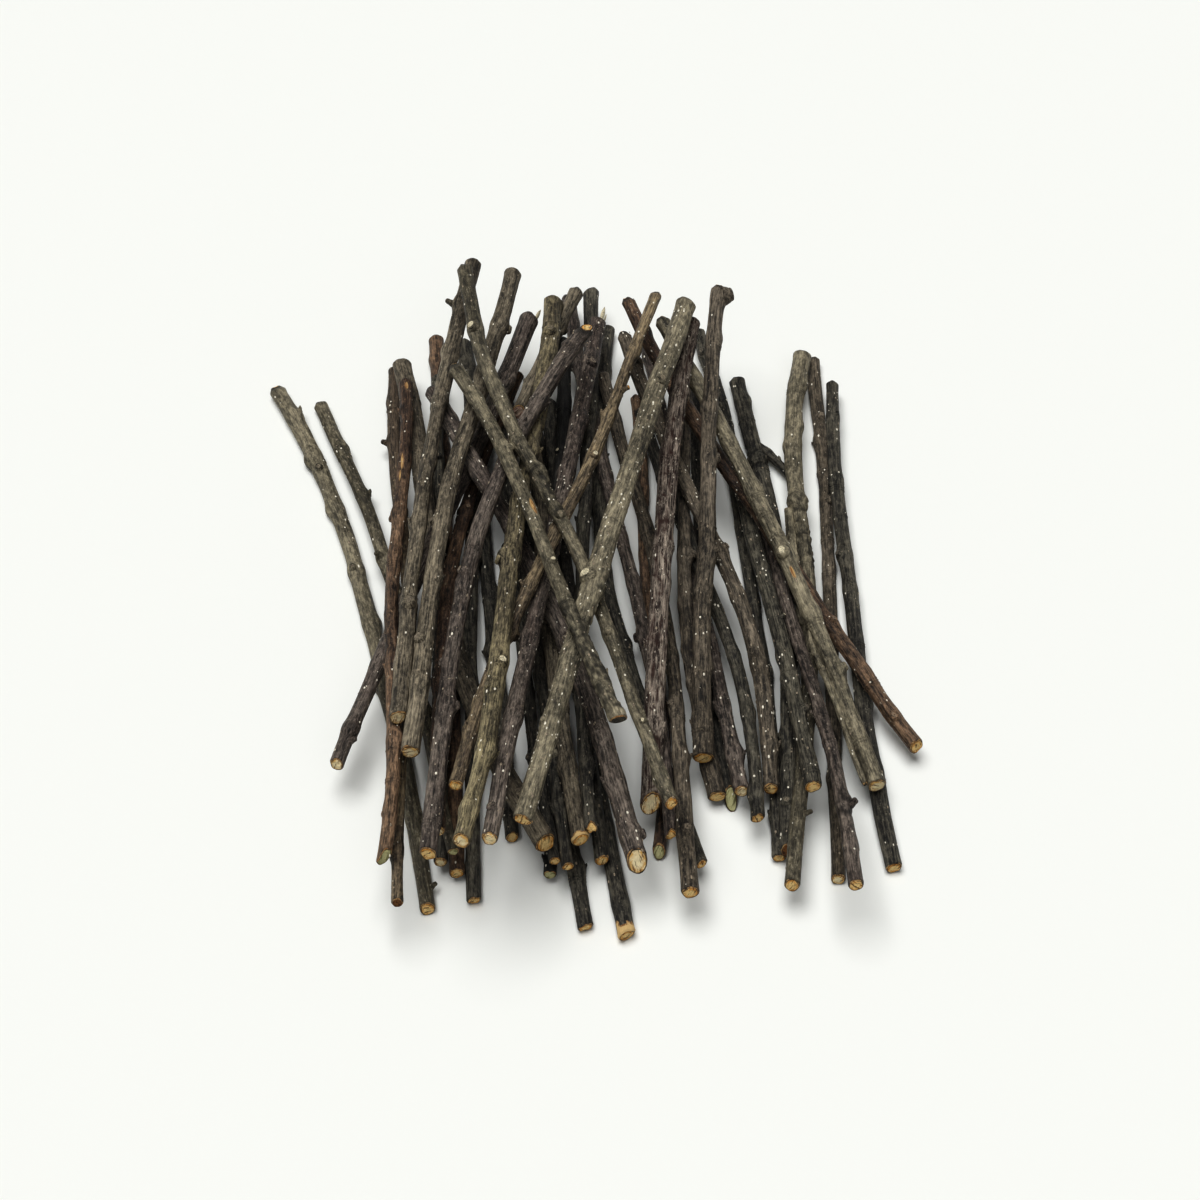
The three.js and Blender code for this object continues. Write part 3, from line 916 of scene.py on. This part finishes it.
def add_cap(piece, twig, rim_start, columns, end, rim, kind, centre, along):
    """A rough cut face: a thin ring of bark, then wood, to a point in the middle."""
    sign = -1 if end == "far" else 1
    theta = np.arange(columns) / columns * 2 * np.pi
    fractions = [0.90, 0.86, 0.7, 0.5, 0.3, 0.12]
    lifts = [0.0, 0.06, 0.10, 0.02, 0.12, 0.0]
    rough = Noise(twig.rng, 9, 1, 8)
    rows = []
    for k, (f, lift) in enumerate(zip(fractions, lifts)):
        push = sign * (lift + 0.12 * rough(float(k), theta)) * twig.radii.max() / 2
        rows.append(centre + f * (rim - centre) + push[:, None] * along)
    points = np.concatenate([*rows, [centre + sign * 0.02 * along]])
    radius = twig.radii[0 if end == "far" else -1]
    disc = np.stack(
        [
            np.concatenate([np.outer(fractions, np.cos(theta + twig.phase) * radius).ravel(), [0]]),
            np.concatenate([np.outer(fractions, np.sin(theta + twig.phase) * radius).ravel(), [0]]),
            np.concatenate([np.repeat(fractions, columns), [0]]),
        ],
        -1,
    )
    bark = piece.materials[0]
    wood = bark if kind == "bark" else WOOD[kind]
    n = len(fractions)
    start = piece.add(points, [], wood, disc=disc, tone=0.1, shade=0.7, groove=0.35)

    def facing(a, b):
        return (a, b) if end == "near" else (b, a)

    ring = []
    for j in range(columns):
        k = (j + 1) % columns
        a, b = facing(j, k)
        ring.append((rim_start + a, rim_start + b, start + b, start + a))
    piece.join(ring, bark)
    inner = []
    for r in range(n - 1):
        for j in range(columns):
            k = (j + 1) % columns
            a, b = facing(j, k)
            outer, deeper = start + r * columns, start + (r + 1) * columns
            inner.append((outer + a, outer + b, deeper + b, deeper + a))
    for j in range(columns):
        k = (j + 1) % columns
        a, b = facing(j, k)
        inner.append((start + (n - 1) * columns + a, start + (n - 1) * columns + b, start + n * columns))
    piece.join(inner, wood)


def end_shape(twig, s, theta, radius):
    """Squeezed out a little by the cutter just before each end, and bevelled at its rim."""
    for end, from_end in (("far", s), ("near", twig.length - s)):
        flare, bevel = (0.07, 1.15) if end == "far" else (0.03, 0.35)
        facets = 1 + 0.5 * end_noise(twig, end)(1.5, theta)
        radius = radius * (1 + flare * hump((from_end - 1.2 * bevel) / 1.8))
        slope = np.clip(1 - from_end / (bevel * facets), 0, 1)
        radius = radius - 0.75 * bevel * slope
    return radius


def add_skin(piece, twig, bark, columns, step):
    s = distances(twig, step)[:, None]
    theta = (np.arange(columns) / columns * 2 * np.pi)[None, :]
    radius, groove = twig.relief(s, theta)
    radius = end_shape(twig, s, theta, radius)
    move = cut_back(twig, s, theta, radius)
    flat_s = s + move
    point, along, right, top = twig.frame(flat_s)
    out = np.cos(theta)[..., None] * top + np.sin(theta)[..., None] * right
    points = point + radius[..., None] * out
    grain = np.stack([radius * np.cos(theta), radius * np.sin(theta), flat_s], -1)

    bare = np.zeros(points.shape[:2])
    for mark in twig.marks:
        if mark[0] == "bare":
            _, t, around, span, wide = mark
            turn = (theta - math.radians(around) + np.pi) % (2 * np.pi) - np.pi
            edge = np.hypot((flat_s - t * twig.length) / (span / 2), turn * radius / (wide / 2))
            edge = edge + 0.3 * twig.fibre(s, theta)
            bare = np.maximum(bare, np.clip(1.25 - edge, 0, 1))
    peel = twig.look.get("peel", 0.25)
    ragged_edge = peel * (1 + 0.5 * twig.fibre(s, theta) + 0.5 * twig.ridge(s, theta))
    most = 0.9 if peel > 0.3 else 0.5
    bare = np.maximum(bare, np.clip(0.9 * (ragged_edge - (twig.length - s)) / 0.3, 0, most))
    far_rim = 0.85 * np.clip(1.5 - s / 0.9, 0, 1)
    near_rim = 0.6 * hump((twig.length - s) / 0.35)
    rim = np.where(s < twig.length / 2, far_rim, near_rim)
    groove = np.maximum(groove, rim) * np.ones(points.shape[:2])

    rows = len(s)
    tone = np.broadcast_to(twig.tone(s), points.shape[:2])
    start = piece.add(
        points.reshape(-1, 3), band(rows, columns), bark, tone=tone.ravel(), shade=1.0,
        groove=groove.ravel(), bare=bare.ravel(),
        grain=grain.reshape(-1, 3),
    )
    for end, row in (("far", 0), ("near", rows - 1)):
        rim = points[row]
        add_cap(
            piece, twig, start + row * columns, columns, end, rim,
            twig.look[end][2], rim.mean(0), unit(along[row].mean(0)),
        )


def add_marks(piece, twig, bark):
    for mark in twig.marks:
        kind, t = mark[:2]
        s = t * twig.length
        if kind == "bud":
            add_bud(piece, twig, bark, s, math.radians(mark[2]), mark[3])
        elif kind == "scar":
            add_scar(piece, twig, bark, s, math.radians(mark[2]), mark[3], mark[4])
        elif kind == "splinter":
            add_splinter(piece, twig, *mark[2:])
        elif kind == "stub":
            add_stub(piece, twig, bark, s, math.radians(mark[2]), mark[3], mark[4], mark[5])


def own_marks(rng, length, marks):
    """A few more buds, scars and rings where none are given."""
    made = []
    taken = [m[1] * length for m in marks if m[0] != "wrinkles"]
    at = rng.uniform(8, 24)
    side = rng.uniform(0, 360)
    while at < length - 7:
        if all(abs(at - other) > 7 for other in taken):
            size = rng.uniform(1.0, 1.6)
            pick = rng.uniform()
            made.append(("node", at / length, side, rng.uniform(0.25, 0.7)))
            if pick < 0.5:
                made.append(("bud", at / length, side, size))
            elif pick < 0.75:
                made.append(("scar", at / length, side, size, "pale" if pick < 0.65 else "eye"))
            if rng.uniform() < 0.35:
                made.append(("ring", at / length + 0.02, int(rng.integers(1, 4))))
        at += rng.uniform(14, 26)
        side += 137.5 + rng.uniform(-20, 20)
    return made


def make_twig(node, number, columns, step):
    kind = node.split("_")[2]
    look = {**PLAIN, **LOOKS.get(node, {}), "scaly": kind == "scaly"}
    rng = np.random.default_rng(1000 + number)
    points, radii = ring_centres(node)
    length = np.linalg.norm(points[-1] - points[0])
    look["marks"] = look["marks"] + own_marks(rng, length, look["marks"])
    twig = Twig(points, radii, look, rng)
    piece = Piece(twig.offset)
    bark = BARK[kind]
    piece.slot(bark)
    add_skin(piece, twig, bark, columns, step)
    add_marks(piece, twig, bark)
    add_lenticels(piece, twig, int(look["dots"] * twig.length / 10), "dot")
    add_lenticels(piece, twig, int((1 + 0.8 * look["dots"]) * twig.length / 10), "pale")
    made = piece.build(f"bark_twig_{number:02d}")
    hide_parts(node)
    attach(made, "root")
    return twig


def make_branch(node, number, stem):
    """The side shoot of a fork, from inside the stem to its own end."""
    kind = node.split("_")[2]
    co = np.unique(np.round(np.array([v.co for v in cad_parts[node].data.vertices]) / MM, 3), axis=0)
    apart = np.array([np.linalg.norm(stem.line - p, axis=1).min() for p in co])
    axis = np.linalg.svd(co - co.mean(0), full_matrices=False)[2][0]
    place = (co - co.mean(0)) @ axis
    if apart[np.argmax(place)] < apart[np.argmin(place)]:
        axis, place = -axis, -place
    end = co[place > place.max() - 0.5]
    tip = end.mean(0)
    radius = np.median(np.linalg.norm(end - tip, axis=1))
    reach = np.linspace(0, 40, 200)
    along = tip - reach[:, None] * axis
    gap = np.array([np.linalg.norm(stem.line - p, axis=1).min() for p in along])
    root = along[np.argmin(gap)]
    rng = np.random.default_rng(2000 + number)
    points = np.linspace(root, tip, 5)
    points[1:4] += rng.uniform(-0.25, 0.25, (3, 3))
    inside = np.argmin(np.linalg.norm(stem.line - root, axis=1))
    behind = stem.line[max(0, inside - int(9.0 / stem.length * len(stem.line)))]
    points = np.vstack([behind, points])
    look = {**PLAIN, "tone": stem.look["tone"], "dots": 3, "near": (20, 180, "bark"), "far": (0, 0, "bark")}
    look["marks"] = [
        ("ring", 0.35, 2), ("node", 0.6, 40, 0.3), ("wrinkles", 0.3, 6, 0.15), ("bud", 0.78, 60, 1.4),
    ]
    radii = [0.4 * radius, *np.linspace(radius * 1.1, radius, 5)]
    twig = Twig(points, radii, look, rng)
    piece = Piece(twig.offset)
    bark = BARK[kind]
    piece.slot(bark)
    add_skin(piece, twig, bark, 24, 0.5)
    add_marks(piece, twig, bark)
    add_lenticels(piece, twig, 4, "dot")
    made = piece.build(f"branch_twig_{number:02d}")
    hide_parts(node)
    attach(made, "root")


TOP_LAYER = 36
stems = {}
for node in sorted(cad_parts):
    number = int(node.split("_")[1])
    if node.endswith("_branch"):
        continue
    fine = number >= TOP_LAYER
    stems[number] = make_twig(node, number, 28 if fine else 20, 0.58 if fine else 0.9)
for node in sorted(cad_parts):
    if node.endswith("_branch"):
        number = int(node.split("_")[1])
        make_branch(node, number, stems[number])

# ---------------------------------------------------------------- floor, light and camera
floor_mesh = bpy.data.meshes.new("floor")
SIDE = 3.0
corners = [(-SIDE, -SIDE, 0), (SIDE, -SIDE, 0), (SIDE, SIDE, 0), (-SIDE, SIDE, 0)]
floor_mesh.from_pydata(corners, [], [(0, 1, 2, 3)])
floor = bpy.data.objects.new("floor", floor_mesh)
bpy.context.scene.collection.objects.link(floor)
paper = Nodes("pale_floor")
paper.shader.inputs["Base Color"].default_value = (0.87, 0.88, 0.85, 1)
paper.shader.inputs["Roughness"].default_value = 0.85
floor_mesh.materials.append(paper.material)


def soft_light(name, place, spread, strength):
    """A far, wide light, so that the floor is lit evenly; `spread` is its angle across in degrees."""
    light = bpy.data.lights.new(name, "SUN")
    light.angle = math.radians(spread)
    light.energy = strength
    lamp = bpy.data.objects.new(name, light)
    lamp.location = place
    lamp.rotation_euler = (-Vector(place)).to_track_quat("-Z", "Y").to_euler()
    bpy.context.scene.collection.objects.link(lamp)


soft_light("softbox", (-0.30, 0.31, 1.7), 42, 2.93)
soft_light("fill", (0.3, -0.9, 1.3), 50, 0.32)

world = bpy.data.worlds.new("studio")
world.use_nodes = True
world.node_tree.nodes["Background"].inputs[0].default_value = (1.0, 0.99, 0.96, 1)
world.node_tree.nodes["Background"].inputs[1].default_value = 0.12
bpy.context.scene.world = world
bpy.context.scene.view_settings.view_transform = "Standard"
bpy.context.scene.view_settings.gamma = 0.82

# The camera looks down on the pile from the near side.
ELEVATION = math.radians(53)
DISTANCE = 0.51
AIM = Vector((0.0074, -0.0127, 0.012))
camera_data = bpy.data.cameras.new("camera")
camera_data.sensor_width = 36
camera_data.lens = 60
camera = bpy.data.objects.new("camera", camera_data)
camera.location = AIM + DISTANCE * Vector((0, -math.cos(ELEVATION), math.sin(ELEVATION)))
camera.rotation_euler = (math.pi / 2 - ELEVATION, 0, 0)
bpy.context.scene.collection.objects.link(camera)
bpy.context.scene.camera = camera
